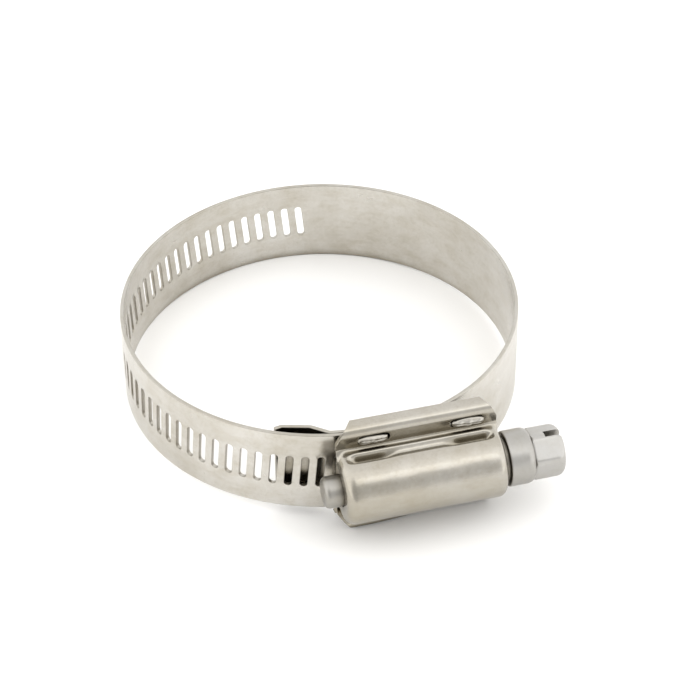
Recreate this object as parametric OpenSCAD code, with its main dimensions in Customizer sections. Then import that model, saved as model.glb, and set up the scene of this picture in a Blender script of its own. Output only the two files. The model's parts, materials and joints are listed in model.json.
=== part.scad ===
// Worm-drive hose clamp: slotted stainless band, stamped housing, saddle and one-piece worm screw.
// Frame: origin at the ring centre at mid band height, +X along the screw to its hex head,
// -Y from the ring centre to the housing, +Z along the ring axis. Millimetres.
// The band is one flexible strip in reality. Here it is cut into hinged lengths so it can close.

/* [Band] */
// Width of the band strip
band_width = 15.9; // [12:0.1:15.9]
// Thickness of the band strip
band_thickness = 0.66; // [0.5:0.02:0.68]
// Distance from one worm slot to the next, measured along the band
slot_pitch = 2.59; // [2.4:0.01:2.7]
// Width of each worm slot
slot_width = 1.25; // [1.2:0.01:1.35]
// Length of each worm slot across the band
slot_length = 6.5; // [5.6:0.1:7]
// Lean of each slot, matching the worm's helix
slot_lean = 5.1; // [4:0.1:6]

/* [Screw] */
// Across-flats size of the hex head
hex_across_flats = 7.94; // [6:0.02:8.2]
// Diameter of the round collar behind the hex head
collar_diameter = 9.2; // [8.6:0.1:9.6]
// Outside diameter of the worm thread
thread_diameter = 9; // [8.6:0.1:9]
// Width of the screwdriver slot
drive_slot_width = 1.5; // [0.8:0.1:1.8]
// Depth of the screwdriver slot
drive_slot_depth = 3; // [1:0.1:3.4]
// Diameter of the plain tip that runs in the housing's far end
tip_diameter = 5.36; // [4.4:0.02:5.8]

/* [Housing] */
// Thickness of the housing sheet
shell_thickness = 0.8; // [0.7:0.05:0.85]
// Outside radius of the half-round barrel over the worm
barrel_radius = 6; // [5.9:0.05:6.1]
// Overall height of the housing along the ring axis
housing_height = 20.2; // [20:0.1:21]

/* [Hidden] */
$fn = 96;
t = band_thickness;
w = band_width;
running = 0.06;               // radial clearance of the screw's bearings
lap_gap = 0.04;               // clearance between the tail and the fixed end under it
tail_mid = 34.39;             // mid-thickness radius of the slotted band
tail_in = tail_mid - t / 2;
tail_out = tail_mid + t / 2;
fixed_mid = tail_mid - t - lap_gap;
fixed_in = fixed_mid - t / 2;
fixed_out = fixed_mid + t / 2;

pitch_angle = slot_pitch / tail_mid * 180 / PI;
slot_anchor = -91.95;         // angle of the slot nearest the worm's middle
tail_tip_angle = -72;
tail_slots = [-3, 7];         // first and last slot of the tail, counted from the anchor
segment_slots = 9;            // slots in each slotted length
segment_count = 4;            // hinged lengths on each side of the ring
tongue_angle = -102.1;        // where the fixed end leaves the tail's inside
plain_start = -48;            // where the fixed end stops and the first plain length starts
seam_angle = 78;              // where the plain and slotted lengths meet
cut = 0.015;                  // half of the cut between neighbouring lengths

// The plain lengths lie on an arc tangent to the fixed end that meets the slotted ones at the seam.
seam_cos = cos(seam_angle - plain_start);
plain_offset = (tail_mid ^ 2 - fixed_mid ^ 2) / (2 * (fixed_mid - tail_mid * seam_cos));
plain_mid = fixed_mid + plain_offset;
plain_centre = -plain_offset * [cos(plain_start), sin(plain_start)];
seam_point = tail_mid * [cos(seam_angle), sin(seam_angle)] - plain_centre;
plain_end = atan2(seam_point[1], seam_point[0]);
plain_step = 31.35;

screw_y = -38.6;
tip_start = -9.8;
wall_left = -6.9;             // outer face of the housing's tip end
wall_right = 20.3;            // outer face of the housing's head end
collar_start = 21;
collar_end = 25.4;
head_end = 30.7;
core_radius = 3.6;
neck_radius = 3.9;
thrust_radius = 4.4;
collar_round = 0.9;
head_round = 1;
hex_corner_angle = 18.4;      // from -Y towards +Z
drive_slot_angle = 86.4;      // from -Y towards +Z

thread_root = 3.68;           // its flat steps clear the core they wind round
thread_crest_width = 0.7;
thread_root_width = 1.16;
thread_from = -5.2;
thread_to = 18.05;
thrust_start = 18.7;
thread_steps = 16;            // flat steps in one turn of the thread

flange_out = -36.1;           // outer face of the housing's flat flanges
flange_in = flange_out + shell_thickness;
strip_back = -33.5;           // inner edge of the rolled-over strips
half_height = housing_height / 2;
bend = 1.5;                   // outside radius of the bend from flange to strip
end_round_left = 1.7;
end_round_right = 1.3;
chamfer_left = 3;
chamfer_right = 2.4;
tab_slots = [[-3.2, 2.3], [12.3, 18.2]];
tab_slot_z = [6.7, 8.6];
saddle_wall = 0.6;
saddle_in = 32.64;            // inside radius of the saddle's base
saddle_base_x = [-4, 7];
saddle_wall_x = [-4, 18.4];

module arc(r0, r1, a0, a1, h = w) {
    rotate([0, 0, a0]) rotate_extrude(angle = a1 - a0) translate([r0, -h / 2]) square([r1 - r0, h]);
}

// One rounded worm slot, as a cutter through the band at the given slot number.
module slot_cutter(k) {
    straight = slot_length - slot_width;
    rotate([0, 0, slot_anchor - k * pitch_angle]) translate([tail_mid, 0, 0]) rotate([-slot_lean, 0, 0]) {
        cube([4 * t, slot_width, straight], center = true);
        for (s = [-1, 1]) translate([0, 0, s * straight / 2]) rotate([0, 90, 0])
            cylinder(d = slot_width, h = 4 * t, center = true, $fn = 24);
    }
}

// Solid that trims one square corner of the tail's tip to a rounded one, in flat steps.
module tip_corner(s) {
    r = 3;
    rotate([0, 0, tail_tip_angle]) translate([tail_mid - 2 * t, 0, 0]) rotate([90, 0, 90]) linear_extrude(4 * t)
        polygon(concat(
            [for (a = [0:15:90]) [r * cos(a) - r + 0.03, s * (w / 2 - r + 0.03 + r * sin(a))]],
            [[-r, s * (w / 2 + 1)], [1, s * (w / 2 + 1)], [1, s * (w / 2 - r)]]));
}

module band_tail() color("#b9b6b0") difference() {
    arc(tail_in, tail_out, slot_anchor - (tail_slots[1] + 0.5) * pitch_angle + cut, tail_tip_angle);
    for (k = [tail_slots[0]:tail_slots[1]]) slot_cutter(k);
    tip_corner(1);
    tip_corner(-1);
}

module band_slotted(i) color("#bcb9b3") {
    first = tail_slots[1] + 1 + (i - 1) * segment_slots;
    low = slot_anchor - (first + segment_slots - 0.5) * pitch_angle;
    difference() {
        arc(tail_in, tail_out, i == segment_count ? seam_angle - 360 + 2 * cut : low + cut,
            slot_anchor - (first - 0.5) * pitch_angle - cut);
        for (k = [first:first + segment_slots - 1]) slot_cutter(k);
    }
}

module band_plain(i) color("#c2bfb9") translate(plain_centre) arc(
    plain_mid - t / 2, plain_mid + t / 2, plain_start + (i - 1) * plain_step + cut,
    i == segment_count ? plain_end - 2 * cut : plain_start + i * plain_step - cut);

// Fixed end: the layer under the tail, and the tongue with its raised bump left of the housing.
module band_fixed_end() color("#aeaba5") {
    arc(fixed_in, fixed_out, tongue_angle, plain_start - cut);
    root = tongue_angle + 1.2;
    a = [cos(root), sin(root)];
    translate([0, 0, -w / 2]) linear_extrude(w) polygon([
        (fixed_out - 0.02) * a, (fixed_in + 0.02) * a, [-9.7, -30.45], [-14.4, -29.1], [-15.65, -29.85],
        [-15.2, -30.1], [-14.25, -29.75], [-9.85, -31.1]]);
}

module screw_axis() translate([0, screw_y, 0]) rotate([0, 90, 0]) children();

module worm_screw() color("#a9a7a6") translate([0, screw_y, 0]) difference() {
    union() {
        rotate([0, 90, 0]) rotate_extrude() polygon([
            [0, tip_start], [tip_diameter / 2 - 0.8, tip_start], [tip_diameter / 2, tip_start + 1.5],
            [tip_diameter / 2, wall_left + shell_thickness + 0.1],
            [core_radius, wall_left + shell_thickness + 0.1], [core_radius, thrust_start],
            [thrust_radius, thrust_start], [thrust_radius, wall_right - shell_thickness - 0.1],
            [neck_radius, wall_right - shell_thickness - 0.1], [neck_radius, collar_start],
            [collar_diameter / 2, collar_start], [collar_diameter / 2, collar_end - collar_round],
            [collar_diameter / 2 - 0.25, collar_end - 0.3], [collar_diameter / 2 - 0.7, collar_end],
            [0, collar_end]]);
        intersection() {
            translate([collar_end - 0.5, 0, 0]) rotate([-hex_corner_angle, 0, 0]) rotate([0, 90, 0])
                rotate([0, 0, 90]) cylinder(d = hex_across_flats / cos(30), h = head_end - collar_end + 0.5, $fn = 6);
            union() {
                translate([collar_end - 1, 0, 0]) rotate([0, 90, 0])
                    cylinder(r = 6, h = head_end - head_round - collar_end + 1);
                translate([head_end - head_round, 0, 0]) rotate([0, 90, 0])
                    cylinder(r1 = 4.75, r2 = 3.5, h = head_round);
            }
        }
    }
    rotate([-drive_slot_angle, 0, 0]) translate([head_end - drive_slot_depth, -8, -drive_slot_width / 2])
        cube([drive_slot_depth + 1, 16, drive_slot_width]);
}

// The helix: a trapezoid swept in flat steps about the screw axis, right-handed about +X.
module worm_thread() color("#9f9d9c") {
    lead_phase = tail_mid * sin(slot_anchor + 90);
    first = ceil((thread_from - lead_phase) / slot_pitch * thread_steps);
    last = floor((thread_to - lead_phase) / slot_pitch * thread_steps);
    crest = thread_diameter / 2;
    pts = [for (i = [first:last]) let (
            a = 360 * i / thread_steps, x = lead_phase + slot_pitch * i / thread_steps,
            fade = min(1, min(i - first, last - i) / 6), r = thread_root + 0.15 + (crest - thread_root - 0.15) * fade)
        each [for (q = [[thread_root, -thread_root_width / 2], [r, -thread_crest_width / 2],
                        [r, thread_crest_width / 2], [thread_root, thread_root_width / 2]])
            [x + q[1], screw_y + q[0] * cos(a), q[0] * sin(a)]]];
    n = last - first;
    sides = [for (i = [0:n - 1], j = [0:3]) let (
            p = 4 * i + j, q = 4 * i + (j + 1) % 4, r = p + 4, s = q + 4)
        each [[p, r, q], [q, r, s]]];
    polyhedron(points = pts, faces = concat([[0, 1, 2], [0, 2, 3]],
        [[4 * n, 4 * n + 2, 4 * n + 1], [4 * n, 4 * n + 3, 4 * n + 2]], sides));
}

// Plan outline of a flange and its strip, as seen along Y, with both ends clipped.
module clipped_block(y0, y1) {
    h = half_height;
    translate([0, y1, 0]) rotate([90, 0, 0]) linear_extrude(y1 - y0) polygon([
        [wall_left, -h + chamfer_left], [wall_left + chamfer_left / 2, -h], [wall_right - 1, -h],
        [wall_right, -h + chamfer_right], [wall_right, h - chamfer_right], [wall_right - 1, h],
        [wall_left + chamfer_left / 2, h], [wall_left, h - chamfer_left]]);
}

module strip_trim() {
    for (s = [-1, 1], e = [[-1, wall_left + chamfer_left / 2, 1.7], [1, wall_right - 1, 1.5]])
        translate([e[1], flange_out, 0]) rotate([0, 0, e[0] < 0 ? -atan2(e[2], 2.6) : atan2(e[2], 2.6)])
            translate([e[0] < 0 ? -4 : 0, 0, s > 0 ? half_height - 3 : -half_height - 1]) cube([4, 6, 4]);
}

// Cross-section of the shell in the YZ plane, extruded along the screw.
module shell_section() {
    difference() {
        union() {
            intersection() {
                translate([screw_y, 0]) circle(barrel_radius);
                translate([screw_y - 10, -10]) square([flange_in - screw_y + 10, 20]);
            }
            for (s = [-1, 1]) {
                translate([flange_out, s > 0 ? 4 : -half_height + bend])
                    square([shell_thickness, half_height - bend - 4]);
                translate([flange_out + bend, s > 0 ? half_height - shell_thickness : -half_height])
                    square([strip_back - flange_out - bend, shell_thickness]);
                translate([flange_out + bend, s * (half_height - bend)]) intersection() {
                    difference() {
                        circle(bend);
                        circle(bend - shell_thickness);
                    }
                    translate([-bend, s > 0 ? 0 : -bend]) square(bend);
                }
                polygon([[flange_out + 0.1, s * 7], [flange_out - 1.2, s * 6.3], [flange_out - 2.3, s * 6.35],
                         [flange_out - 2.6, s * 5.3], [flange_out + 0.1, s * 4.6]]);
                translate([screw_y, s * 5.8]) circle(0.6, $fn = 24);
            }
        }
        translate([screw_y, 0]) circle(barrel_radius - shell_thickness);
        translate([flange_in - 1.8, -5.2 + 0.4]) square([4, 9.6]);
    }
}

module housing() color("#c9c3b6") difference() {
    intersection() {
        union() {
            translate([wall_left, 0, 0]) rotate([90, 0, 90]) linear_extrude(wall_right - wall_left) shell_section();
            intersection() {
                for (x = [wall_left, wall_right - shell_thickness]) translate([x, 0, 0]) screw_axis()
                    cylinder(r = barrel_radius - shell_thickness / 2, h = shell_thickness);
                translate([-50, flange_in - 50, -50]) cube([100, 50, 100]);
            }
        }
        clipped_block(screw_y - 10, 0);
        union() {
            translate([wall_left, 0, 0]) screw_axis() {
                cylinder(r1 = barrel_radius - end_round_left, r2 = barrel_radius + 0.9, h = end_round_left);
                translate([0, 0, end_round_left])
                    cylinder(r = 20, h = wall_right - wall_left - end_round_left - end_round_right);
                translate([0, 0, wall_right - wall_left - end_round_right])
                    cylinder(r1 = barrel_radius + 0.9, r2 = barrel_radius - end_round_right, h = end_round_right);
            }
            translate([wall_left, flange_out - 0.8, -20]) cube([40, 10, 40]);
        }
    }
    translate([wall_left - 1, 0, 0]) screw_axis() cylinder(d = tip_diameter + 2 * running, h = 3);
    translate([wall_right - 2, 0, 0]) screw_axis() cylinder(r = neck_radius + running, h = 4);
    for (x = tab_slots, s = [-1, 1]) translate([x[0], flange_out - 2, s > 0 ? tab_slot_z[0] : -tab_slot_z[1]])
        cube([x[1] - x[0], 5, tab_slot_z[1] - tab_slot_z[0]]);
    for (s = [-1, 1]) translate([wall_left + 2.4, 0, 0]) translate([0, screw_y - 0.95, s * 6.15]) rotate([0, 90, 0])
        cylinder(r = 0.42, h = wall_right - wall_left - 4.6, $fn = 24);
    strip_trim();
}

// Channel around the band's fixed end, with four tabs bent over outside the housing's flanges.
module saddle() color("#a5a29c") {
    arc_span = [-90 + asin(saddle_base_x[0] / fixed_in), -90 + asin(saddle_base_x[1] / fixed_in)];
    wall_low = w / 2 + 0.07;
    arc(saddle_in, fixed_in - 0.02, arc_span[0], arc_span[1], 2 * wall_low + 0.4);
    for (s = [-1, 1]) {
        translate([0, 0, s > 0 ? wall_low : -wall_low - saddle_wall]) difference() {
            translate([saddle_wall_x[0], flange_in + 0.02, 0])
                cube([saddle_wall_x[1] - saddle_wall_x[0], 4, saddle_wall]);
            translate([0, 0, -1]) cylinder(r = saddle_in, h = 3);
            translate([saddle_base_x[1], strip_back, -1]) cube([20, 8, 3]);
        }
        for (x = tab_slots) {
            translate([x[0] + 0.1, flange_out - 0.1, s > 0 ? wall_low : -tab_slot_z[1] + 0.06])
                cube([x[1] - x[0] - 0.2, 1, tab_slot_z[1] - 0.06 - wall_low]);
            translate([x[0] + 0.1, flange_out - 0.62, s > 0 ? 7.05 : -8.5]) cube([x[1] - x[0] - 0.2, 0.6, 1.45]);
        }
    }
}

housing();
saddle();
band_fixed_end();
worm_screw();
worm_thread();
band_tail();
band_plain(1);  // band_plain_1
band_plain(2);  // band_plain_2
band_plain(3);  // band_plain_3
band_plain(4);  // band_plain_4
band_slotted(1);  // band_slotted_1
band_slotted(2);  // band_slotted_2
band_slotted(3);  // band_slotted_3
band_slotted(4);  // band_slotted_4
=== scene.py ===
"""Worm-drive hose clamp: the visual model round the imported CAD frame.

Sizes are in millimetres and become metres when a mesh is made. The frame is the part's own: origin at the
ring's centre, +X along the screw to its hex head, -Y to the housing, +Z along the ring's axis.
"""
import json
import math

import bmesh
import bpy
from mathutils import Matrix, Vector, noise


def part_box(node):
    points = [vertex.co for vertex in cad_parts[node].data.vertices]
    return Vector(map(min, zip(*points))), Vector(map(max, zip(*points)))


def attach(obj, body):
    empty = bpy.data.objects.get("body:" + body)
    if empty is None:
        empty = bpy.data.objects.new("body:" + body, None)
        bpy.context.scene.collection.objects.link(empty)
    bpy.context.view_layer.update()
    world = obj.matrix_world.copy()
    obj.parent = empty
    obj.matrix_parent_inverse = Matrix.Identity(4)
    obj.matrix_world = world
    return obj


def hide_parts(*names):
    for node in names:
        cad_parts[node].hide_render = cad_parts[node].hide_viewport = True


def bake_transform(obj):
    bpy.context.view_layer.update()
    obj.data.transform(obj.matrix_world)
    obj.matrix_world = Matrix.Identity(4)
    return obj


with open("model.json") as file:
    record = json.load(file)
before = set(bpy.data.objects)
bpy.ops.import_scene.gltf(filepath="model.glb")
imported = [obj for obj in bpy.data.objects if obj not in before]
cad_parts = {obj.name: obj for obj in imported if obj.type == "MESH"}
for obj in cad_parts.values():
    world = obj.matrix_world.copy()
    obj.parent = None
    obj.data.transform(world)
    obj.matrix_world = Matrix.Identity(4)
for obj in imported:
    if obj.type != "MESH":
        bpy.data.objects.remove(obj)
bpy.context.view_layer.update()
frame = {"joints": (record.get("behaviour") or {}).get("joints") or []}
scene = bpy.context.scene
MM = 0.001


def lowest_and_highest(node):
    low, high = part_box(node)
    return low / MM, high / MM


# ---------------------------------------------------------------- sizes, from the frame where it has them
screw_low, screw_high = lowest_and_highest("worm_screw")
shell_low, shell_high = lowest_and_highest("housing")
strip_low, strip_high = lowest_and_highest("band_plain_1")
JOINTS = {j["name"]: j for j in frame["joints"]}
SCREW_Y = JOINTS["screw_spin"]["pos_m"][1] / MM

BAND_WIDTH = strip_high.z - strip_low.z
BAND_THICK = 0.66
LAP_GAP = 0.04
TAIL_MID = 34.39                       # mid-thickness radius of the slotted strip
FIXED_MID = TAIL_MID - BAND_THICK - LAP_GAP
SLOT_PITCH = 2.59
SLOT_WIDTH, SLOT_LENGTH, SLOT_LEAN = 1.25, 6.5, 5.1
SLOT_ANCHOR = -91.95                   # degrees, the slot nearest the worm's middle
PITCH_ANGLE = math.degrees(SLOT_PITCH / TAIL_MID)
TAIL_TIP, PLAIN_START, SEAM = -72.0, -48.0, 78.0
LAST_SLOT = 43

# The plain strip's arc is tangent to the fixed end and meets the slotted strip at the seam.
_cos = math.cos(math.radians(SEAM - PLAIN_START))
PLAIN_OFFSET = (TAIL_MID ** 2 - FIXED_MID ** 2) / (2 * (FIXED_MID - TAIL_MID * _cos))
PLAIN_MID = FIXED_MID + PLAIN_OFFSET
PLAIN_CENTRE = Vector((-PLAIN_OFFSET * math.cos(math.radians(PLAIN_START)),
                       -PLAIN_OFFSET * math.sin(math.radians(PLAIN_START)), 0))


def polar(radius, degrees, z=0.0, centre=Vector((0, 0, 0))):
    a = math.radians(degrees)
    return centre + Vector((radius * math.cos(a), radius * math.sin(a), z))


def angle_about(point, centre):
    return math.degrees(math.atan2(point.y - centre.y, point.x - centre.x))


PLAIN_END = angle_about(polar(TAIL_MID, SEAM), PLAIN_CENTRE)

# ---------------------------------------------------------------- camera: the photograph's viewing angle
VIEW_TURN = math.radians(-14.6)        # the ring's front is turned this much from the camera's direction
VIEW_ELEVATION = math.radians(39.94)
VIEW_ROLL = math.radians(-0.64)
VIEW_DISTANCE = 426.8
VIEW_SHIFT = (4.94, -2.25)             # camera's place right and up of the ring's centre
LENS = 125.4


def make_camera():
    forward = Vector((0, math.cos(VIEW_ELEVATION), -math.sin(VIEW_ELEVATION)))
    level_right = Vector((1, 0, 0))
    level_up = level_right.cross(forward)
    right = math.cos(VIEW_ROLL) * level_right + math.sin(VIEW_ROLL) * level_up
    up = right.cross(forward)
    turn = Matrix.Rotation(VIEW_TURN, 3, "Z")
    forward, right, up = turn @ forward, turn @ right, turn @ up
    data = bpy.data.cameras.new("camera")
    data.lens, data.sensor_width = LENS, 36.0
    data.clip_start, data.clip_end = 0.01, 10.0
    camera = bpy.data.objects.new("camera", data)
    scene.collection.objects.link(camera)
    place = (-VIEW_DISTANCE * forward + VIEW_SHIFT[0] * right + VIEW_SHIFT[1] * up) * MM
    basis = Matrix((right, up, -forward)).transposed().to_4x4()
    camera.matrix_world = Matrix.Translation(place) @ basis
    scene.camera = camera


make_camera()


# ---------------------------------------------------------------- materials
class Nodes:
    """Short names for the node types that the materials use."""

    def __init__(self, name):
        self.material = bpy.data.materials.new(name)
        self.material.use_nodes = True
        self.tree = self.material.node_tree
        self.shader = self.tree.nodes["Principled BSDF"]

    def add(self, kind, **values):
        node = self.tree.nodes.new(kind)
        for key, value in values.items():
            if hasattr(node, key):
                setattr(node, key, value)
            else:
                node.inputs[key.replace("_", " ")].default_value = value
        return node

    def link(self, a, b):
        self.tree.links.new(a, b)

    def noise(self, coordinates, scale, stretch=(1, 1, 1), detail=3.0, roughness=0.55):
        mapping = self.add("ShaderNodeMapping")
        mapping.inputs["Scale"].default_value = stretch
        self.link(coordinates, mapping.inputs["Vector"])
        texture = self.add("ShaderNodeTexNoise", Scale=scale, Detail=detail, Roughness=roughness)
        self.link(mapping.outputs["Vector"], texture.inputs["Vector"])
        return texture.outputs["Fac"]

    def ramp(self, value, *stops):
        node = self.add("ShaderNodeValToRGB")
        elements = node.color_ramp.elements
        while len(elements) < len(stops):
            elements.new(0.5)
        for element, (place, colour) in zip(elements, stops):
            element.position = place
            element.color = (*colour, 1) if len(colour) == 3 else colour
        self.link(value, node.inputs["Fac"])
        return node.outputs["Color"]

    def mix(self, kind, amount, a, b):
        node = self.add("ShaderNodeMix", data_type="RGBA", blend_type=kind)
        for socket, value in ((node.inputs["Factor"], amount), (node.inputs[6], a), (node.inputs[7], b)):
            if isinstance(value, (int, float, tuple)):
                socket.default_value = value if not isinstance(value, tuple) else (*value, 1)
            else:
                self.link(value, socket)
        return node.outputs[2]

    def range(self, value, low, high):
        node = self.add("ShaderNodeMapRange")
        node.inputs["To Min"].default_value, node.inputs["To Max"].default_value = low, high
        self.link(value, node.inputs["Value"])
        return node.outputs["Result"]


def grey(value, warm=0.0):
    return (value * (1 + warm * 0.40), value * (1 - warm * 0.06), value * (1 - warm))


CLOUD_SCALE, SMEAR_SCALE, SPECK_SCALE, GRAIN_SCALE = 55, 210, 1700, 5200     # noise cells to the metre
PAINTED_SHADE_REACH = 2.6                      # a hollow narrower than this gets painted shade in its colour
ALONG_RING = (1, 1, 60)                # fine lines along the strip
ALONG_SCREW = (1, 14, 14)              # fine lines along the housing
ROUND_SCREW = (16, 1, 1)               # fine lines round the screw


def steel(name, base, warm, blotch, roughness, line_scale, line_depth, grain_depth,
          line_stretch=ALONG_RING, smudge=0.7, painted_shade_amount=1.0):
    """Stainless steel: cloudy, smudged tone, rolling lines, speckle, grain, and painted shade (ambient
    occlusion) darkening the hollows.

    base is the tone, warm its tint, blotch the depth of the clouds; the depths of the bumps are in mm.
    """
    n = Nodes(name)
    place = n.add("ShaderNodeTexCoord").outputs["Object"]
    cloud = n.noise(place, CLOUD_SCALE, detail=4, roughness=0.6)
    smear = n.noise(place, SMEAR_SCALE, stretch=(1, 1, 2.2), detail=5, roughness=0.65)
    lines = n.noise(place, line_scale, stretch=line_stretch, detail=4, roughness=0.7)
    grain = n.noise(place, GRAIN_SCALE, detail=2, roughness=0.6)
    specks = n.noise(place, SPECK_SCALE, detail=3, roughness=0.7)
    tone = n.ramp(cloud, (0.3, grey(base - blotch, warm * 1.6)),
                  (0.7, grey(base + blotch * 0.4, warm * 0.8)))
    smears = n.ramp(smear, (0.32, grey(0.80, 0.08)), (0.56, grey(1.0)))
    smeared = n.mix("MULTIPLY", smudge, tone, smears)
    speckle = n.ramp(specks, (0.30, grey(0.84, 0.05)), (0.55, grey(1.0)))
    speckled = n.mix("MULTIPLY", smudge * 0.75, smeared, speckle)
    lined = n.mix("MULTIPLY", 0.25, speckled, n.ramp(lines, (0.3, grey(0.86)), (0.7, grey(1.0))))
    # Painted shade: ambient occlusion darkens the base colour in narrow hollows and crevices, where shade
    # falls.
    hollow = n.add("ShaderNodeAmbientOcclusion", samples=8, Distance=PAINTED_SHADE_REACH * MM)
    painted_shade = n.ramp(hollow.outputs["AO"], (0.10, grey(0.13, 0.20)), (0.46, grey(0.47, 0.14)),
                   (0.84, grey(1.0)))
    n.link(n.mix("MULTIPLY", painted_shade_amount, lined, painted_shade), n.shader.inputs["Base Color"])
    n.shader.inputs["Metallic"].default_value = 1.0
    n.link(n.range(smear, roughness - 0.06, roughness + 0.08), n.shader.inputs["Roughness"])
    fine = n.add("ShaderNodeBump", Strength=0.35, Distance=line_depth * MM)
    n.link(lines, fine.inputs["Height"])
    rough = n.add("ShaderNodeBump", Strength=0.4, Distance=grain_depth * MM)
    n.link(grain, rough.inputs["Height"])
    n.link(fine.outputs["Normal"], rough.inputs["Normal"])
    n.link(rough.outputs["Normal"], n.shader.inputs["Normal"])
    return n.material


BAND_STEEL = steel("band_satin", 0.63, 0.07, 0.12, 0.24, 60, 0.004, 0.004)
SHELL_STEEL = steel("shell_bright", 0.415, 0.12, 0.06, 0.20, 90, 0.003, 0.003, ALONG_SCREW, smudge=0.45)
SADDLE_STEEL = steel("saddle_dull", 0.46, 0.09, 0.06, 0.32, 90, 0.004, 0.006, ALONG_SCREW)
# The sheared edges and the screw head take less of the painted shade in hollows.
CUT_STEEL = steel("sheared_edge", 0.46, 0.09, 0.08, 0.36, 300, 0.006, 0.008, painted_shade_amount=0.35)
SCREW_STEEL = steel("screw_turned", 0.385, 0.06, 0.05, 0.33, 120, 0.004, 0.006, ROUND_SCREW, smudge=0.35)
HEAD_STEEL = steel("screw_head", 0.45, 0.04, 0.05, 0.30, 120, 0.004, 0.006, ROUND_SCREW,
                   smudge=0.35, painted_shade_amount=0.2)


# ---------------------------------------------------------------- mesh making
class Sheet:
    """Collects faces by the parameters of their corners; equal parameters are one vertex."""

    def __init__(self, place=lambda *p: Vector(p)):
        self.place, self.index, self.points, self.faces, self.cut = place, {}, [], [], []

    def corner(self, params):
        key = tuple(round(p, 4) for p in params)
        if key not in self.index:
            self.index[key] = len(self.points)
            self.points.append(self.place(*params))
        return self.index[key]

    def face(self, *corners, cut=False):
        ids = list(dict.fromkeys(self.corner(c) for c in corners))
        if len(ids) > 2:
            self.faces.append(ids)
            self.cut.append(1 if cut else 0)

    def make(self, name, material):
        return make_object(name, self.points, self.faces, material, cut=self.cut)


def make_object(name, points, faces, material, sharp=38.0, cut=None):
    """A welded, outward-facing, smooth-shaded object from points in mm; cut marks sheared faces."""
    mesh = bpy.data.meshes.new(name)
    mesh.from_pydata([tuple(Vector(p) * MM) for p in points], [], faces)
    mesh.materials.append(material)
    if cut:
        mesh.materials.append(CUT_STEEL)
        mesh.polygons.foreach_set("material_index", cut)
    bm = bmesh.new()
    bm.from_mesh(mesh)
    bmesh.ops.remove_doubles(bm, verts=bm.verts, dist=2e-7)
    bmesh.ops.recalc_face_normals(bm, faces=bm.faces)
    bm.to_mesh(mesh)
    bm.free()
    mesh.polygons.foreach_set("use_smooth", [True] * len(mesh.polygons))
    mesh.set_sharp_from_angle(angle=math.radians(sharp))
    obj = bpy.data.objects.new(name, mesh)
    scene.collection.objects.link(obj)
    return obj


def modify(obj, kind, name, **values):
    modifier = obj.modifiers.new(name, kind)
    for key, value in values.items():
        setattr(modifier, key, value)
    return modifier


def break_edges(obj, width, angle):
    """Rounds edges sharper than the angle, in degrees."""
    modify(obj, "BEVEL", "edges", width=width * MM, segments=2, limit_method="ANGLE",
           angle_limit=math.radians(angle))


def keep_flats(obj):
    """Weighted normals, so a flat stays flat right up to its rounded edge."""
    return modify(obj, "WEIGHTED_NORMAL", "flats", keep_sharp=True, weight=80)


def lathe(name, profile, material, steps=96):
    """Turns (x, radius) points round the screw's axis."""
    points, faces = [], []
    for x, r in profile:
        for i in range(steps):
            a = 2 * math.pi * i / steps
            points.append((x, SCREW_Y - r * math.cos(a), r * math.sin(a)))
    for j in range(len(profile) - 1):
        for i in range(steps):
            k = (i + 1) % steps
            faces.append([j * steps + i, j * steps + k, (j + 1) * steps + k, (j + 1) * steps + i])
    return make_object(name, points, faces, material)


def spline(points, steps):
    """A Catmull-Rom curve through points, with that many steps between neighbours."""
    out = []
    ends = [points[0]] + list(points) + [points[-1]]
    for i in range(1, len(ends) - 2):
        p0, p1, p2, p3 = (Vector(p) for p in ends[i - 1:i + 3])
        for s in range(steps):
            t = s / steps
            out.append(0.5 * (2 * p1 + (p2 - p0) * t + (2 * p0 - 5 * p1 + 4 * p2 - p3) * t * t
                              + (3 * p1 - p0 - 3 * p2 + p3) * t ** 3))
    out.append(Vector(points[-1]))
    return out


def arc_points(centre, radius, start, end, steps):
    """(a, b) points on an arc; angles in degrees."""
    return [Vector((centre[0] + radius * math.cos(math.radians(start + (end - start) * i / steps)),
                    centre[1] + radius * math.sin(math.radians(start + (end - start) * i / steps))))
            for i in range(steps + 1)]


def filleted(corners, radii, steps=8):
    """A polyline whose inner corners are rounded with these radii."""
    out = [Vector(corners[0])]
    for i in range(1, len(corners) - 1):
        before, here, after = (Vector(c) for c in corners[i - 1:i + 2])
        u, v = (before - here).normalized(), (after - here).normalized()
        half = math.acos(max(-1, min(1, u.dot(v)))) / 2
        cut = radii[i - 1] / math.tan(half)
        centre = here + (u + v).normalized() * radii[i - 1] / math.sin(half)
        a, b = here + u * cut - centre, here + v * cut - centre
        for s in range(steps + 1):
            t = s / steps
            out.append(centre + (a * (1 - t) + b * t).normalized() * radii[i - 1])
    out.append(Vector(corners[-1]))
    return out


# ---------------------------------------------------------------- the band
HALF_W, HALF_T = BAND_WIDTH / 2, BAND_THICK / 2
EDGE_ROUND = 0.17                      # rolled edges of the strip
CELL_TOP = 4.3                         # height where a cell's rows stop following its slot
SIDE_STEPS, ARC_STEPS, RIM_STEPS = 6, 10, 3


def strip_rows():
    """Heights of the rows across the strip's flat, from its lower to its upper edge."""
    flat = HALF_W - EDGE_ROUND
    rim = [CELL_TOP + (flat - CELL_TOP) * i / RIM_STEPS for i in range(1, RIM_STEPS + 1)]
    middle = [-CELL_TOP + 2 * CELL_TOP * i / SIDE_STEPS for i in range(SIDE_STEPS + 1)]
    return [-z for z in reversed(rim)], middle, rim


def edge_profile():
    """(height, depth) from the outer face over the upper edge to the inner face."""
    r = EDGE_ROUND
    quarter = [(HALF_W - r + r * math.sin(a), HALF_T - r + r * math.cos(a))
               for a in (math.pi / 2 * i / 4 for i in range(5))]
    return quarter + [(z, -d) for z, d in reversed(quarter)]


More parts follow.
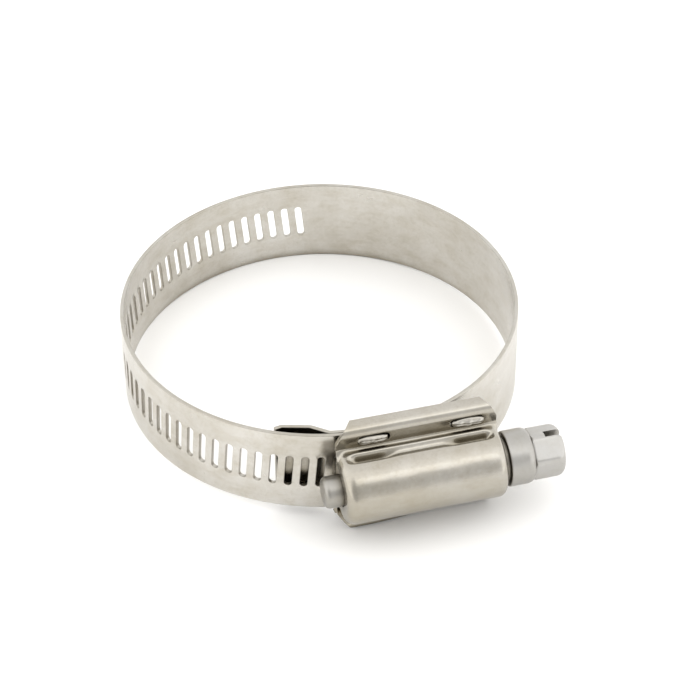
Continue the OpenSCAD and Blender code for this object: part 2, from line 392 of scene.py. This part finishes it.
def edge_faces(sheet, s0, s1):
    profile = edge_profile()
    for (z0, d0), (z1, d1) in zip(profile, profile[1:]):
        for up in (1, -1):
            sheet.face((s0, up * z0, d0), (s1, up * z0, d0),
                       (s1, up * z1, d1), (s0, up * z1, d1), cut=True)


def column(sheet, s0, s1, rows):
    for d in (HALF_T, -HALF_T):
        for z0, z1 in zip(rows, rows[1:]):
            sheet.face((s0, z0, d), (s1, z0, d), (s1, z1, d), (s0, z1, d))


def plain_stretch(sheet, start, end, step):
    low, middle, rim = strip_rows()
    count = max(1, math.ceil(abs(end - start) / step))
    for i in range(count):
        s0, s1 = start + (end - start) * i / count, start + (end - start) * (i + 1) / count
        column(sheet, s0, s1, low + middle + rim)
        edge_faces(sheet, s0, s1)


def end_cap(sheet, s):
    low, middle, rim = strip_rows()
    rows = low + middle + rim
    over = edge_profile()[1:-1]
    sheet.face(*[(s, z, HALF_T) for z in rows], *[(s, z, d) for z, d in over],
               *[(s, z, -HALF_T) for z in reversed(rows)], *[(s, -z, d) for z, d in reversed(over)])


def slot_outline(grow):
    """A leaning slot's outline as (along, height), grown, anticlockwise from its lower right."""
    r, h = SLOT_WIDTH / 2 + grow, (SLOT_LENGTH - SLOT_WIDTH) / 2
    points = [(r, -h + 2 * h * i / SIDE_STEPS) for i in range(SIDE_STEPS)]
    points += [(r * math.cos(math.pi * i / ARC_STEPS), h + r * math.sin(math.pi * i / ARC_STEPS))
               for i in range(ARC_STEPS)]
    points += [(-u, -z) for u, z in points]
    c, s = math.cos(math.radians(SLOT_LEAN)), math.sin(math.radians(SLOT_LEAN))
    return [(u * c + z * s, z * c - u * s) for u, z in points]


def cell_frame():
    """Points on the edge of a slot's cell that match its outline's points."""
    p = SLOT_PITCH
    points = [(p / 2, -CELL_TOP + 2 * CELL_TOP * i / SIDE_STEPS) for i in range(SIDE_STEPS)]
    points += [(p / 2 - p * i / ARC_STEPS, CELL_TOP) for i in range(ARC_STEPS)]
    return points + [(-u, -z) for u, z in points]


# Growth of the slot and depth in the strip, from the outer face through to the inner face.
SLOT_WALL = ((0.09, HALF_T), (0.026, HALF_T - 0.026), (0.0, HALF_T - 0.09),
             (0.0, -HALF_T + 0.06), (0.018, -HALF_T + 0.018), (0.06, -HALF_T))


def slot_cell(sheet, middle):
    """One pitch of the strip with its worm slot, at that angle."""
    def along(u):
        return middle + math.degrees(u / TAIL_MID)

    frame_points = cell_frame()
    count = len(frame_points)
    rings = [([(along(u), z, d) for u, z in slot_outline(grow)]) for grow, d in SLOT_WALL]
    for d, ring in ((HALF_T, rings[0]), (-HALF_T, rings[-1])):
        outer = [(along(u), z, d) for u, z in frame_points]
        for i in range(count):
            j = (i + 1) % count
            sheet.face(ring[i], outer[i], outer[j], ring[j])
    for a, b in zip(rings, rings[1:]):
        for i in range(count):
            j = (i + 1) % count
            sheet.face(a[i], a[j], b[j], b[i], cut=True)
    low, _, rim = strip_rows()
    for i in range(ARC_STEPS):
        s0, s1 = (along(SLOT_PITCH * (-0.5 + k / ARC_STEPS)) for k in (i, i + 1))
        column(sheet, s0, s1, [CELL_TOP] + rim)
        column(sheet, s0, s1, low + [-CELL_TOP])
        edge_faces(sheet, s0, s1)


def on_slotted(s, z, d):
    return polar(TAIL_MID + d, s, z)


def on_tail(s, z, d):
    """The tail's corners are rounded towards its tip."""
    left = math.radians(TAIL_TIP - s) * TAIL_MID
    radius = 2.9
    if left < radius:
        z *= (HALF_W - radius + math.sqrt(max(0, radius ** 2 - (radius - left) ** 2))) / HALF_W
    return polar(TAIL_MID + d, s, z)


def on_plain(s, z, d):
    """The fixed end's arc, then the plain strip's arc, tangent to it."""
    if s <= PLAIN_START:
        return polar(FIXED_MID + d, s, z)
    return polar(PLAIN_MID + d, s, z, PLAIN_CENTRE)


def slot_angle(k):
    return SLOT_ANCHOR - k * PITCH_ANGLE


def slotted_piece(name, first, last, end=None, place=on_slotted, start=None):
    """Cells first..last, with plain strip before the first to start and past the last to end."""
    sheet = Sheet(place)
    top = slot_angle(first - 0.5)
    if start is not None:
        plain_stretch(sheet, top, start, 0.35)
        top = start
    for k in range(first, last + 1):
        slot_cell(sheet, slot_angle(k))
    bottom = slot_angle(last + 0.5)
    if end is not None:
        plain_stretch(sheet, bottom, end, 0.5)
        bottom = end
    end_cap(sheet, top)
    end_cap(sheet, bottom)
    obj = sheet.make(name, BAND_STEEL)
    keep_flats(obj)
    return obj


def plain_piece(name, start, end):
    sheet = Sheet(on_plain)
    plain_stretch(sheet, start, end, 0.5)
    end_cap(sheet, start)
    end_cap(sheet, end)
    obj = sheet.make(name, BAND_STEEL)
    keep_flats(obj)
    return obj


FIXED_FROM = -62.0                     # where the fixed end hands over to the first strip piece
FIXED_TO = -100.6                      # where it leaves the tail's inside
TONGUE = ((-9.75, -30.78), (-14.32, -29.44), (-15.49, -29.66))     # middle of the sheet, foot to lip
TONGUE_BENDS = (1.6, 1.3, 0.8)


def fixed_end():
    """The layer under the tail, bent into the raised tongue left of the housing."""
    steps, run_on = 60, 0.9                    # pieces of the arc, and how far it runs on before bending
    arc = [polar(FIXED_MID, FIXED_FROM + (FIXED_TO - FIXED_FROM) * i / steps).to_2d()
           for i in range(steps + 1)]
    onwards = arc[-1] + (arc[-1] - arc[-2]).normalized() * run_on
    line = arc[:-1] + filleted([arc[-1], onwards, *TONGUE], TONGUE_BENDS, 6)
    stations = []
    for i, p in enumerate(line):
        ahead = (line[min(i + 1, len(line) - 1)] - line[max(i - 1, 0)]).normalized()
        outwards = Vector((ahead.y, -ahead.x))
        stations.append((p, outwards if outwards.dot(p) > 0 else -outwards))

    def place(s, z, d):
        p, n = stations[int(round(s))]
        return Vector((p.x + n.x * d, p.y + n.y * d, z))

    sheet = Sheet(place)
    plain_stretch(sheet, 0, len(stations) - 1, 1)
    end_cap(sheet, 0)
    end_cap(sheet, len(stations) - 1)
    obj = sheet.make("fixed_end", BAND_STEEL)
    keep_flats(obj)
    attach(obj, "clamp_body")
    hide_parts("band_fixed_end")


def hinge_angle(name, centre):
    return angle_about(Vector(JOINTS[name]["pos_m"]) / MM, centre)


def band():
    fixed_end()
    tail = slotted_piece("tail", -3, 6, place=on_tail, start=TAIL_TIP)
    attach(tail, "tail")
    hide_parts("band_tail")

    # Each strip piece runs from the middle of one CAD length to the middle of the next.
    hinges = [hinge_angle(f"plain_bend_{i}", PLAIN_CENTRE) for i in range(1, 5)]
    middles = [(a + b) / 2 for a, b in zip(hinges, hinges[1:])]
    bounds = [FIXED_FROM, *middles, PLAIN_END]
    for i in range(4):
        piece = plain_piece(f"strip_{i + 1}", bounds[i], bounds[i + 1])
        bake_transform(piece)
        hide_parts(f"band_plain_{i + 1}")

    firsts, lasts = [7, 12, 21, 30], [11, 20, 29, LAST_SLOT]
    for i in range(4):
        seam = SEAM - 360 if i == 3 else None
        piece = slotted_piece(f"slotted_strip_{i + 1}", firsts[i], lasts[i], end=seam)
        hinge = hinge_angle(f"slotted_bend_{i + 1}", Vector((0, 0, 0)))
        hinge -= 360 if hinge > 0 else 0
        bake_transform(piece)
        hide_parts(f"band_slotted_{i + 1}")


# ---------------------------------------------------------------- the housing
BARREL_R = 6.0
SHEET_T = 0.8
FLANGE_A = -36.1 - SCREW_Y             # flange's outer face, from the screw's axis towards the ring
STRIP_A = -33.5 - SCREW_Y              # back edge of the rolled-over strips
HALF_H = shell_high.z
BEND_R = 1.5
LEFT_ROUND, RIGHT_ROUND = 1.7, 1.3
TAB_SLOTS = ((-3.2, 2.25), (12.35, 18.15))
TAB_LOW, TAB_HIGH = 6.72, 8.48


def smooth(t):
    t = max(0.0, min(1.0, t))
    return t * t * (3 - 2 * t)


# The sheet's section from the flange's root to the barrel as (towards the ring, height): with the bead
# and the groove beside it, and as it is without them.
BEADED = [(2.5, 6.72), (2.46, 6.42), (2.34, 6.20), (2.10, 6.06), (1.80, 6.10), (1.48, 6.27),
          (1.16, 6.34), (0.92, 6.12), (0.72, 5.60), (0.46, 5.08), (0.12, 4.86), (-0.24, 5.22),
          (-0.58, 5.84), (-1.30, 5.857), (-2.2, 5.582)]
SMOOTHED = [(2.5, 6.72), (2.46, 6.42), (2.30, 6.22), (2.05, 6.12), (1.76, 6.08), (1.46, 6.06),
            (1.16, 6.04), (0.90, 6.02), (0.66, 6.01), (0.40, 6.00), (0.08, 6.00), (-0.26, 5.99),
            (-0.62, 5.967), (-1.30, 5.857), (-2.2, 5.582)]
GROOVE_ROW = 7                         # later points belong to the groove, which fades at mid length


def half_section(x):
    """Section at that place along the screw, from the strip's back edge to the barrel's crown."""
    bead = smooth((x - shell_low.x - 1.3) / 1.6) * smooth((shell_high.x - 1.1 - x) / 1.4)
    middle = (shell_low.x + shell_high.x) / 2
    pinch = 0.35 + 0.65 * smooth((abs(x - middle) - 3.5) / 3.5)
    root = []
    for i, (b, s) in enumerate(zip(BEADED, SMOOTHED)):
        amount = bead * (pinch if i > GROOVE_ROW else 1)
        root.append(Vector(s).lerp(Vector(b), amount))
    strip = [Vector((STRIP_A - (STRIP_A - FLANGE_A - BEND_R) * i / 4, HALF_H)) for i in range(4)]
    bend = arc_points((FLANGE_A + BEND_R, HALF_H - BEND_R), BEND_R, 90, 180, 8)
    flat_top = HALF_H - BEND_R
    flat = [Vector((FLANGE_A, flat_top - (flat_top - TAB_LOW) * i / 8)) for i in range(1, 8)]
    top = math.degrees(math.acos(2.2 / BARREL_R))
    barrel = [Vector((-BARREL_R * math.cos(math.radians(top * (1 - i / 16))),
                      BARREL_R * math.sin(math.radians(top * (1 - i / 16))))) for i in range(1, 17)]
    return strip + bend + flat + spline(root, 3) + barrel, len(strip + bend + flat)


def housing_section(x, past, radius):
    """The whole section; past is how far x has gone into an end's rounding of that radius."""
    half, root = half_section(x)
    drop = radius - math.sqrt(max(0.0, radius ** 2 - past ** 2))
    shaped = []
    for i, p in enumerate(half):
        share = smooth((i - root) / 14)
        shaped.append((p, drop * share, share))
    mirrored = [(Vector((p.x, -p.y)), inset, share) for p, inset, share in reversed(shaped[:-1])]
    shaped = [p * (1 - (inset + dents(x, p) * share) / p.length) for p, inset, share in shaped + mirrored]
    return shaped, root


def dents(x, p):
    """Shallow unevenness of the stamped barrel, broad and fine, always inwards."""
    place = Vector((x * 0.30, p.x * 0.33, p.y * 0.33))
    broad, fine = (0.5 + 0.5 * noise.noise(place * finer) for finer in (1.0, 3.1))
    return 0.07 * broad + 0.018 * fine


def housing_stations():
    """(x, distance past the start of an end's rounding, radius of that rounding) along the housing."""
    left, right = shell_low.x, shell_high.x
    xs = []
    for i in range(9):
        a = math.radians(90 * i / 8)
        xs.append((left + LEFT_ROUND * (1 - math.sin(a)), LEFT_ROUND * math.sin(a), LEFT_ROUND))
    xs.reverse()
    (near_from, near_to), (far_from, far_to) = TAB_SLOTS
    inner = [near_from - 1.4, near_from - 0.9, near_from - 0.5, near_from]
    for a, b, n in ((near_from, near_to, 26), (near_to, far_from, 26), (far_from, far_to, 28)):
        inner += [a + (b - a) * i / n for i in range(1, n + 1)]
    inner += [far_to + 0.45]
    xs += [(x, 0.0, 1.0) for x in inner]
    for i in range(9):
        a = math.radians(90 * i / 8)
        xs.append((right - RIGHT_ROUND * (1 - math.sin(a)), RIGHT_ROUND * math.sin(a), RIGHT_ROUND))
    return xs


FLARE_LEAST, FLARE_EXTRA = 1.6, 0.7    # the lower flange's bend at the head end, and what the tip end adds
FLARE_FROM, FLARE_DEPTH = 5.4, 4.6     # how far below the axis it starts, and over what height it grows


def flare(x, z):
    """How far the lower flange is bent outwards at that place."""
    most = FLARE_LEAST + FLARE_EXTRA * smooth((10.0 - x) / 12.0)
    return most * smooth((-z - FLARE_FROM) / FLARE_DEPTH)


def clip_corner(x, a, z):
    """Moves a point on the flange or strip in from the clipped corners at the housing's ends."""
    left, right = shell_low.x, shell_high.x
    height = abs(z)
    strip = max(0.0, a - FLANGE_A - 0.2)
    low = left + max(0.0, (height - 7.2) * (0.52 if z > 0 else 0.8)) + strip * 0.62
    high = right - max(0.0, (height - 7.7) * 0.42) - strip * 0.5
    return max(low, min(high, x))


def housing():
    stations = housing_stations()
    sections = [housing_section(x, past, radius) for x, past, radius in stations]
    root = sections[0][1]
    rows = len(sections[0][0])
    points, faces, index = [], [], {}

    def add(p):
        points.append(p)
        return len(points) - 1

    for i, ((x, _, _), (section, _)) in enumerate(zip(stations, sections)):
        for j, p in enumerate(section):
            px = clip_corner(x, p.x, p.y) if j <= root or j >= rows - 1 - root else x
            index[i, j] = add((px, SCREW_Y + p.x - flare(px, p.y) * (j >= rows - 1 - root), p.y))

    def in_slot(i, j):
        x = sum(points[index[a, b]][0] for a in (i, i + 1) for b in (j, j + 1)) / 4
        y = sum(points[index[a, b]][1] for a in (i, i + 1) for b in (j, j + 1)) / 4
        z = abs(sum(points[index[a, b]][2] for a in (i, i + 1) for b in (j, j + 1)) / 4)
        if abs(y - SCREW_Y - FLANGE_A) > 1.5 or z > HALF_H - BEND_R + 0.05:
            return False
        return any(inside_tab(x, z, a, b) for a, b in TAB_SLOTS)

    holes = set()
    for i in range(len(stations) - 1):
        for j in range(rows - 1):
            if in_slot(i, j):
                holes.add((i, j))
                continue
            faces.append([index[i, j], index[i, j + 1], index[i + 1, j + 1], index[i + 1, j]])
    rim = {}
    for i, j in holes:
        for a in (i, i + 1):
            for b in (j, j + 1):
                around = [(a - 1, b - 1), (a - 1, b), (a, b - 1), (a, b)]
                if any(c not in holes for c in around):
                    rim[index[a, b]] = True
    for v in rim:
        x, y, z = points[v]
        points[v] = snap_to_tab(x, y, z)

    # End walls: from each end's section inwards to the round hole for the screw, open towards the ring.
    for end, hole in ((0, 2.8), (len(stations) - 1, 4.15)):
        x = stations[end][0]
        js = list(range(root, rows - root))
        widest = math.acos(-FLANGE_A / hole)
        own = [math.atan2(sections[end][0][j].y, -sections[end][0][j].x) for j in js]
        previous = [index[end, j] for j in js]
        for step in (1, 2, 3):
            ring = []
            for n, j in enumerate(js):
                angle = max(-1.0, min(1.0, own[n] / own[0])) * widest
                goal = Vector((-hole * math.cos(angle), hole * math.sin(angle)))
                p = sections[end][0][j].lerp(goal, step / 3)
                ring.append(add((x, SCREW_Y + p.x, p.y)))
            for n in range(len(js) - 1):
                faces.append([previous[n], previous[n + 1], ring[n + 1], ring[n]])
            previous = ring
    used = sorted({v for f in faces for v in f})
    renumber = {v: n for n, v in enumerate(used)}
    points, faces = [points[v] for v in used], [[renumber[v] for v in f] for f in faces]
    obj = make_object("housing_shell", points, faces, SHELL_STEEL, sharp=60)
    thin_over_worm(obj)
    modify(obj, "SOLIDIFY", "sheet", thickness=SHEET_T * MM, offset=-1, use_even_offset=False,
           vertex_group="sheet", thickness_vertex_group=0.0)
    break_edges(obj, 0.12, 50)
    keep_flats(obj)
    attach(obj, "clamp_body")
    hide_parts("housing")


def thin_over_worm(obj):
    """Weights the sheet's thickness, so that the pressed grooves leave room for the worm inside."""
    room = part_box("worm_thread")[1].z / MM + 0.1
    group = obj.vertex_groups.new(name="sheet")
    for vertex in obj.data.vertices:
        x, a, z = vertex.co.x / MM, vertex.co.y / MM - SCREW_Y, vertex.co.z / MM
        over_worm = shell_low.x + LEFT_ROUND < x < shell_high.x - RIGHT_ROUND and a < 2.0
        weight = (math.hypot(a, z) - room) / SHEET_T if over_worm else 1.0
        group.add([vertex.index], max(0.15, min(1.0, weight)), "REPLACE")


def tab_shape(a, b):
    """Middle of a tab's slot, half its straight length and its end radius."""
    r = (TAB_HIGH - TAB_LOW) / 2
    return (a + b) / 2, (TAB_HIGH + TAB_LOW) / 2, (b - a) / 2 - r, r


def inside_tab(x, z, a, b):
    cx, cz, half, r = tab_shape(a, b)
    dx = max(0.0, abs(x - cx) - half)
    return math.hypot(dx, z - cz) < r


def snap_to_tab(x, y, z):
    up = 1 if z > 0 else -1
    a, b = min(TAB_SLOTS, key=lambda s: abs((s[0] + s[1]) / 2 - x))
    cx, cz, half, r = tab_shape(a, b)
    core = max(cx - half, min(cx + half, x))
    away = Vector((x - core, abs(z) - cz))
    away = away.normalized() * r if away.length > 1e-6 else Vector((0, r))
    return core + away.x, y, up * (cz + away.y)


# ---------------------------------------------------------------- the saddle
CHANNEL_WALL = 0.6                     # the saddle's sheet
CHANNEL_PLAY = 0.07                    # between the band's edge and the channel's side
CHANNEL_END = 7.0                      # its end towards the screw's head


def saddle():
    """The channel under the band, and the four tabs hammered over outside the flanges."""
    wall, side, base_high = CHANNEL_WALL, HALF_W + CHANNEL_PLAY, CHANNEL_END
    base_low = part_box("saddle")[0].x / MM
    floor_out = FIXED_MID - HALF_T - 0.02
    rail = SCREW_Y + FLANGE_A + SHEET_T + 0.05
    points, faces = [], []

    def add(p):
        points.append(p)
        return len(points) - 1

    # One bent sheet: up one side wall, along the base's arc and up the other wall.
    section = []
    for i in range(25):
        x = base_low + (base_high - base_low) * i / 24
        y = -math.sqrt(floor_out ** 2 - x ** 2)
        half = [(rail, side + wall), (y + 0.1, side + wall), (y + 0.45, side + wall - 0.12),
                (y + 0.6, side + wall - 0.45), (y + 0.62, side - 1.2)]
        whole = half + [(y + 0.62, 0)] + [(a, -z) for a, z in reversed(half)]
        section.append([add((x, a, z)) for a, z in whole])
    for a, b in zip(section, section[1:]):
        for j in range(len(a) - 1):
            faces.append([a[j], b[j], b[j + 1], a[j + 1]])
    obj = make_object("saddle_channel", points, faces, SADDLE_STEEL)
    modify(obj, "SOLIDIFY", "sheet", thickness=(wall - 0.05) * MM, offset=-1)
    break_edges(obj, 0.08, 50)
    keep_flats(obj)
    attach(obj, "clamp_body")
    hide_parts("saddle")
    for n, (a, b) in enumerate(TAB_SLOTS):
        for up in (1, -1):
            tab(f"tab_{n + 1}_{'top' if up > 0 else 'bottom'}", a, b, up, n * 2 + (up > 0))


def tab(name, a, b, up, seed):
    """A clinched tab: a lumpy pillow of metal hammered into its slot, with a fold along it."""
    cx, cz, half, r = tab_shape(a, b)
    lean = 0.16 if seed < 2 else -0.18             # which end of the slot the tab is pushed towards
    cx, cz, half = cx - lean, cz - 0.22, half - 0.12
    points, faces = [], []
    rings, around = 12, 64

    def outline(t):
        """Point on the tab's edge for t from 0 to 1, a little uneven like a hammered edge."""
        angle = 2 * math.pi * t
        c, s = math.cos(angle), math.sin(angle)
        uneven = 1 + 0.10 * noise.noise(Vector((c * 1.4 + seed * 5.1, s * 1.4, seed * 2.3)))
        return half * max(-1.0, min(1.0, 1.35 * c)) + r * c * uneven, r * s * uneven

    def rise(u, v, share):
        """Height of the pillow above the flange."""
        crown = (1 - share ** 3) ** 0.5
        along = (u + half + r) / (2 * (half + r))
        lump = noise.noise(Vector((u * 0.75 + seed * 7.3, v * 1.1, seed * 3.1)))
        dent = noise.noise(Vector((u * 2.1 + seed * 1.7, v * 2.4, seed * 9.1)))
        fold_at = -0.02 + 0.20 * math.sin(2.2 * along + seed)
        fold = 0.22 * math.exp(-((v - fold_at) / 0.13) ** 2) * smooth(along * 3) * smooth((1 - along) * 4)
        lip = 0.14 * math.exp(-((v - fold_at - 0.34) / 0.2) ** 2)
        return crown * (0.36 + 0.22 * lump + 0.10 * dent + lip - fold)

    for i in range(rings + 1):
        share = 1 - i / rings
        for k in range(around):
            u, v = outline(k / around)
            height = max(-0.05, rise(u * share, v * share, share))
            x, z = cx + u * share, up * (cz + v * share)
            points.append((x, SCREW_Y + FLANGE_A - height - flare(x, z), z))
    for i in range(rings):
        for k in range(around):
            m = (k + 1) % around
            faces.append([i * around + k, i * around + m, (i + 1) * around + m, (i + 1) * around + k])
    base = len(points)
    for k in range(around):
        u, v = outline(k / around)
        points.append((cx + u, SCREW_Y + FLANGE_A + 1.0, up * (cz + v)))
    for k in range(around):
        m = (k + 1) % around
        faces.append([k, m, base + m, base + k])
    faces.append([base + k for k in range(around)])
    obj = make_object(name, points, faces, SADDLE_STEEL, sharp=70)
    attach(obj, "clamp_body")


# ---------------------------------------------------------------- the screw
def screw():
    body = "screw"
    tip, end = screw_low.x, screw_high.x
    tip_r, collar_r, core_r, neck_r, waist_r = 2.68, 4.68, 3.6, 3.9, 3.98
    collar_from, collar_to, shoulder = 21.0, 25.4, 1.3
    tip_in, thrust_from, thrust_to = shell_low.x + 0.9, 18.7, 19.4
    profile = [(tip, 0.02), (tip, 2.05), (tip + 0.05, 2.22), (tip + 0.18, 2.40), (tip + 0.38, 2.55),
               (tip + 0.62, 2.64), (tip + 0.9, tip_r), (tip_in, tip_r), (tip_in, core_r),
               (thrust_from, core_r), (thrust_from, 4.4), (thrust_to, 4.4), (thrust_to, neck_r),
               (collar_from, neck_r), (collar_from, collar_r - 0.3), (collar_from + 0.1, collar_r - 0.1),
               (collar_from + 0.3, collar_r)]
    # The collar's shoulder falls to a waist where the hex starts.
    profile += [(collar_to - shoulder * (1 - math.sin(a)), waist_r + (collar_r - waist_r) * math.cos(a))
                for a in (math.pi / 2 * i / 7 for i in range(8))]
    profile += [(collar_to, 0.02)]
    shank = lathe("screw_body", profile, SCREW_STEEL)
    keep_flats(shank)
    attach(shank, body)
    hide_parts("worm_screw")
    head = hex_head(collar_to - 0.1, end)
    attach(head, body)
    worm = thread()
    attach(worm, body)
    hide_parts("worm_thread")


def hex_head(start, end):
    """Hex head with domed corners, and the screwdriver slot cut across its end."""
    flats, corner_at, slot_at, slot_w, slot_d = 7.94, 18.4, 86.4, 1.5, 3.0
    apothem, turned = flats / 2, 4.36  # the hex's corners are turned down to this radius
    around = 144

    def hex_radius(angle):
        """Radius of the hexagon with blunt corners, at that angle from a corner."""
        a = (angle + 30) % 60 - 30
        return min(apothem / math.cos(math.radians(30 - abs(a))), turned)

    dome, lead = 1.35, 0.4                     # the rounded end, and the lead-in next to the collar
    stations = [(start, lead), (start + lead * 0.3, lead * 0.5), (start + lead, 0.0), (end - dome, 0.0)]
    stations += [(end - dome + dome * math.sin(a), dome * 0.85 * (1 - math.cos(a)))
                 for a in (math.pi / 2 * i / 8 for i in range(1, 9))]
    points, faces = [], []
    for x, inset in stations:
        for i in range(around):
            angle = 360 * i / around
            r = hex_radius(angle - corner_at)
            # the end is turned round, so the chamfer takes more off the corners
            r = min(r - inset * 0.30, turned - inset * 1.05)
            t = math.radians(angle)
            points.append((x, SCREW_Y - r * math.cos(t), r * math.sin(t)))
    for j in range(len(stations) - 1):
        for i in range(around):
            k = (i + 1) % around
            faces.append([j * around + i, j * around + k, (j + 1) * around + k, (j + 1) * around + i])
    faces.append(list(range(around)))
    faces.append([(len(stations) - 1) * around + i for i in range(around)])
    obj = make_object("screw_head", points, faces, HEAD_STEEL, sharp=24)
    a = math.radians(slot_at)
    across = Vector((0, -math.cos(a), math.sin(a)))
    beside = Vector((0, math.sin(a), math.cos(a)))
    corners = []
    for x in (end - slot_d, end + 1):
        for u in (-7, 7):
            for v in (-slot_w / 2, slot_w / 2):
                p = Vector((x, SCREW_Y, 0)) + across * u + beside * v
                corners.append(tuple(p))
    sides = [[0, 1, 3, 2], [4, 6, 7, 5], [0, 4, 5, 1], [2, 3, 7, 6], [0, 2, 6, 4], [1, 5, 7, 3]]
    cutter = make_object("slot_cutter", corners, sides, HEAD_STEEL)
    modify(obj, "BOOLEAN", "slot", operation="DIFFERENCE", object=cutter, solver="EXACT")
    break_edges(obj, 0.14, 40)
    apply_modifiers(obj)
    bpy.data.objects.remove(cutter)
    obj.data.polygons.foreach_set("use_smooth", [True] * len(obj.data.polygons))
    obj.data.set_sharp_from_angle(angle=math.radians(30))
    keep_flats(obj)
    return obj


def apply_modifiers(obj):
    depsgraph = bpy.context.evaluated_depsgraph_get()
    mesh = bpy.data.meshes.new_from_object(obj.evaluated_get(depsgraph))
    obj.modifiers.clear()
    obj.data = mesh


def thread():
    """The worm: a rounded trapezoid swept in a helix, right-handed, in step with the band's slots."""
    root, crest = 3.55, 4.5
    low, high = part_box("worm_thread")
    first, last = low.x / MM + 0.6, high.x / MM - 0.6
    phase = TAIL_MID * math.sin(math.radians(SLOT_ANCHOR + 90))
    steps = 48
    i0 = math.ceil((first - phase) / SLOT_PITCH * steps)
    i1 = math.floor((last - phase) / SLOT_PITCH * steps)
    half = [(root, 0.62), (3.9, 0.5), (4.3, 0.42), (4.46, 0.34), (crest, 0.22)]
    section = [(r, -w) for r, w in half] + half[::-1]
    points, faces = [], []
    for i in range(i0, i1 + 1):
        a = 2 * math.pi * i / steps
        x = phase + SLOT_PITCH * i / steps
        fade = smooth(min(i - i0, i1 - i) / 20)
        for r, w in section:
            r = root + (r - root) * max(0.04, fade)
            points.append((x + w, SCREW_Y + r * math.cos(a), r * math.sin(a)))
    n = len(section)
    for i in range(i1 - i0):
        for j in range(n):
            k = (j + 1) % n
            faces.append([i * n + j, i * n + k, (i + 1) * n + k, (i + 1) * n + j])
    faces += [list(range(n)), [(i1 - i0) * n + j for j in range(n)]]
    return make_object("worm_helix", points, faces, SCREW_STEEL, sharp=50)


# ---------------------------------------------------------------- floor and light
def stage():
    """A pale floor that the housing's lower edge and the far side of the band both rest on."""
    near, far = Vector((0, shell_low.y + 8, shell_low.z)), Vector((0, TAIL_MID, strip_low.z))
    tilt = math.atan2(far.z - near.z, far.y - near.y)
    n = Nodes("floor")
    place = n.add("ShaderNodeTexCoord").outputs["Object"]
    tone = n.ramp(n.noise(place, 3, detail=2), (0.3, grey(0.93, 0.02)), (0.7, grey(0.945, 0.02)))
    n.link(tone, n.shader.inputs["Base Color"])
    n.shader.inputs["Roughness"].default_value = 0.85
    n.shader.inputs["Specular IOR Level"].default_value = 0.1
    size = 3.0
    corners = [(-size, -size, 0), (size, -size, 0), (size, size, 0), (-size, size, 0)]
    mesh = bpy.data.meshes.new("floor")
    mesh.from_pydata(corners, [], [(0, 1, 2, 3)])
    mesh.materials.append(n.material)
    floor = bpy.data.objects.new("floor", mesh)
    scene.collection.objects.link(floor)
    below = Matrix.Translation((near + Vector((0, 0, -0.03))) * MM)
    floor.matrix_world = below @ Matrix.Rotation(tilt, 4, "X")


# The light tent is darker where it is open in front, and a little darker on its back wall: direction,
# where the shade starts and is full (as cosines), and the brightness there.
TENT_SHADES = ((Vector((-0.24, -0.86, 0.45)).normalized(), 0.66, 0.97, 0.42),
               (Vector((0.19, 0.74, 0.64)).normalized(), 0.30, 0.95, 0.74))
TENT_STRENGTH = 1.84


def soft_light(name, place, size, power):
    data = bpy.data.lights.new(name, "AREA")
    data.shape, data.size, data.size_y = "RECTANGLE", size[0], size[1]
    data.energy = power
    light = bpy.data.objects.new(name, data)
    scene.collection.objects.link(light)
    light.location = place
    light.rotation_euler = Vector(place).to_track_quat("Z", "Y").to_euler()


def lighting():
    world = bpy.data.worlds.new("studio")
    scene.world = world
    world.use_nodes = True
    tree = world.node_tree
    sky = tree.nodes["Background"]
    coordinates = tree.nodes.new("ShaderNodeTexCoord")
    level = None
    for direction, edge, full, darkest in TENT_SHADES:
        towards = tree.nodes.new("ShaderNodeVectorMath")
        towards.operation = "DOT_PRODUCT"
        towards.inputs[1].default_value = direction
        fade = tree.nodes.new("ShaderNodeMapRange")
        fade.interpolation_type = "SMOOTHSTEP"
        fade.inputs["From Min"].default_value, fade.inputs["From Max"].default_value = edge, full
        fade.inputs["To Min"].default_value, fade.inputs["To Max"].default_value = 1.0, darkest
        tree.links.new(coordinates.outputs["Generated"], towards.inputs[0])
        tree.links.new(towards.outputs["Value"], fade.inputs["Value"])
        if level is None:
            level = fade.outputs["Result"]
            continue
        product = tree.nodes.new("ShaderNodeMath")
        product.operation = "MULTIPLY"
        tree.links.new(level, product.inputs[0])
        tree.links.new(fade.outputs["Result"], product.inputs[1])
        level = product.outputs["Value"]
    tree.links.new(level, sky.inputs["Color"])
    sky.inputs["Strength"].default_value = TENT_STRENGTH
    soft_light("key", (0.21, -0.60, 0.90), (0.34, 0.34), 0.26)
    soft_light("overhead", (0.15, 0.25, 1.0), (1.3, 1.1), 0.3)
    scene.view_settings.view_transform = "Standard"


band()
housing()
saddle()
screw()
stage()
lighting()
